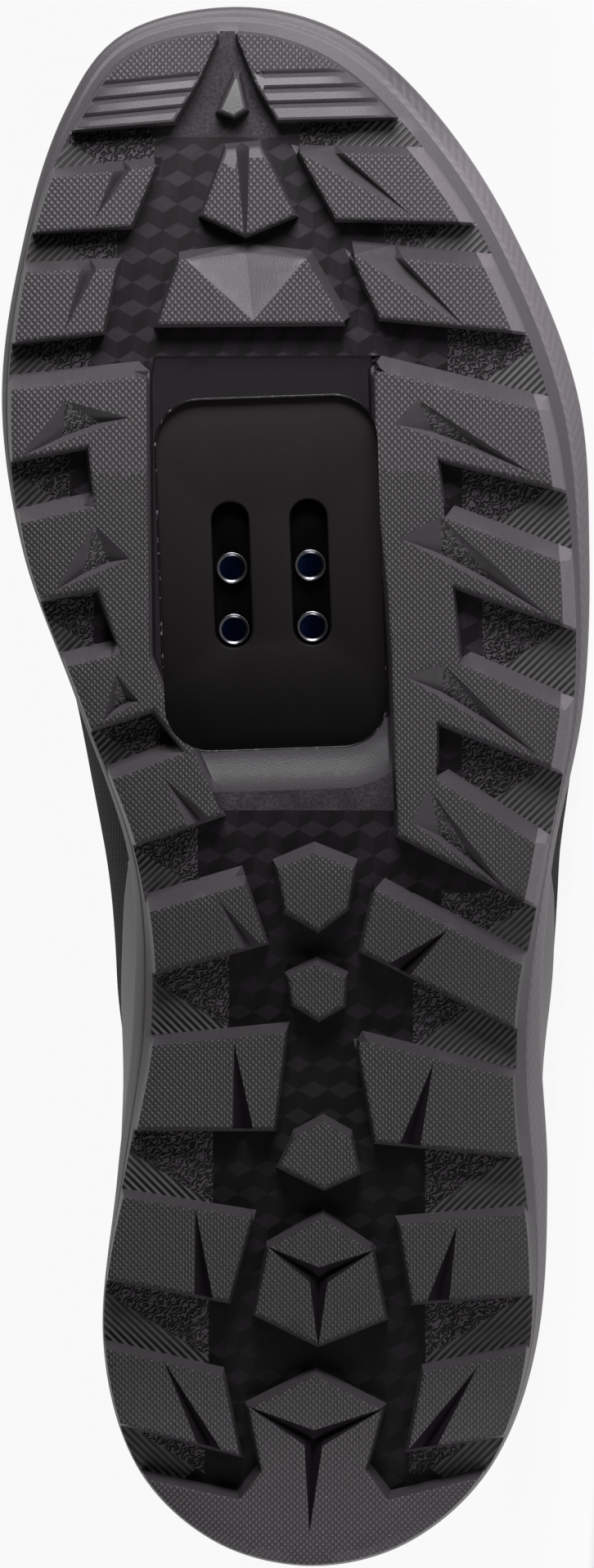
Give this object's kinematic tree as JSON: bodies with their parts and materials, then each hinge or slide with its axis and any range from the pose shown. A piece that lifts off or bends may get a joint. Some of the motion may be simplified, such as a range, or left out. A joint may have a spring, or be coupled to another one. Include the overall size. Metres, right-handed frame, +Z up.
{
  "type": "cycling shoe",
  "caption": "Low-cut lugged off-road cycling shoe with a recessed cleat mount, a laced upper and a pocketed rubber sole, lying on its outer side.",
  "frame": {"origin": "centre of the bounding box's underside, on the floor that the shoe lies on", "axes": "+X from heel to toe along the floor, +Z up from the floor, -Y out of the tread, which faces it within five degrees"},
  "size_m": [0.2776, 0.1162, 0.1073],
  "materials": {
    "rubber": "matte moulded black rubber, knurled lug tops",
    "cleat_plate": "satin black",
    "steel": "dark plated steel",
    "insole_foam": "blue cloth over foam",
    "upper_mesh": "coarse black mesh",
    "film": "smooth dark grey bonded film",
    "lining": "padded black knit",
    "cord": "woven black lace"
  },
  "bodies": {
    "root": {"outsole": "rubber", "cleat_plate": "cleat_plate", "cleat_nut_plate": "steel", "insole": "insole_foam", "upper": "upper_mesh", "toe_cap": "film", "heel_counter": "film", "eyestay": "film", "tongue": "lining", "lace": "cord"}
  },
  "joints": []
}
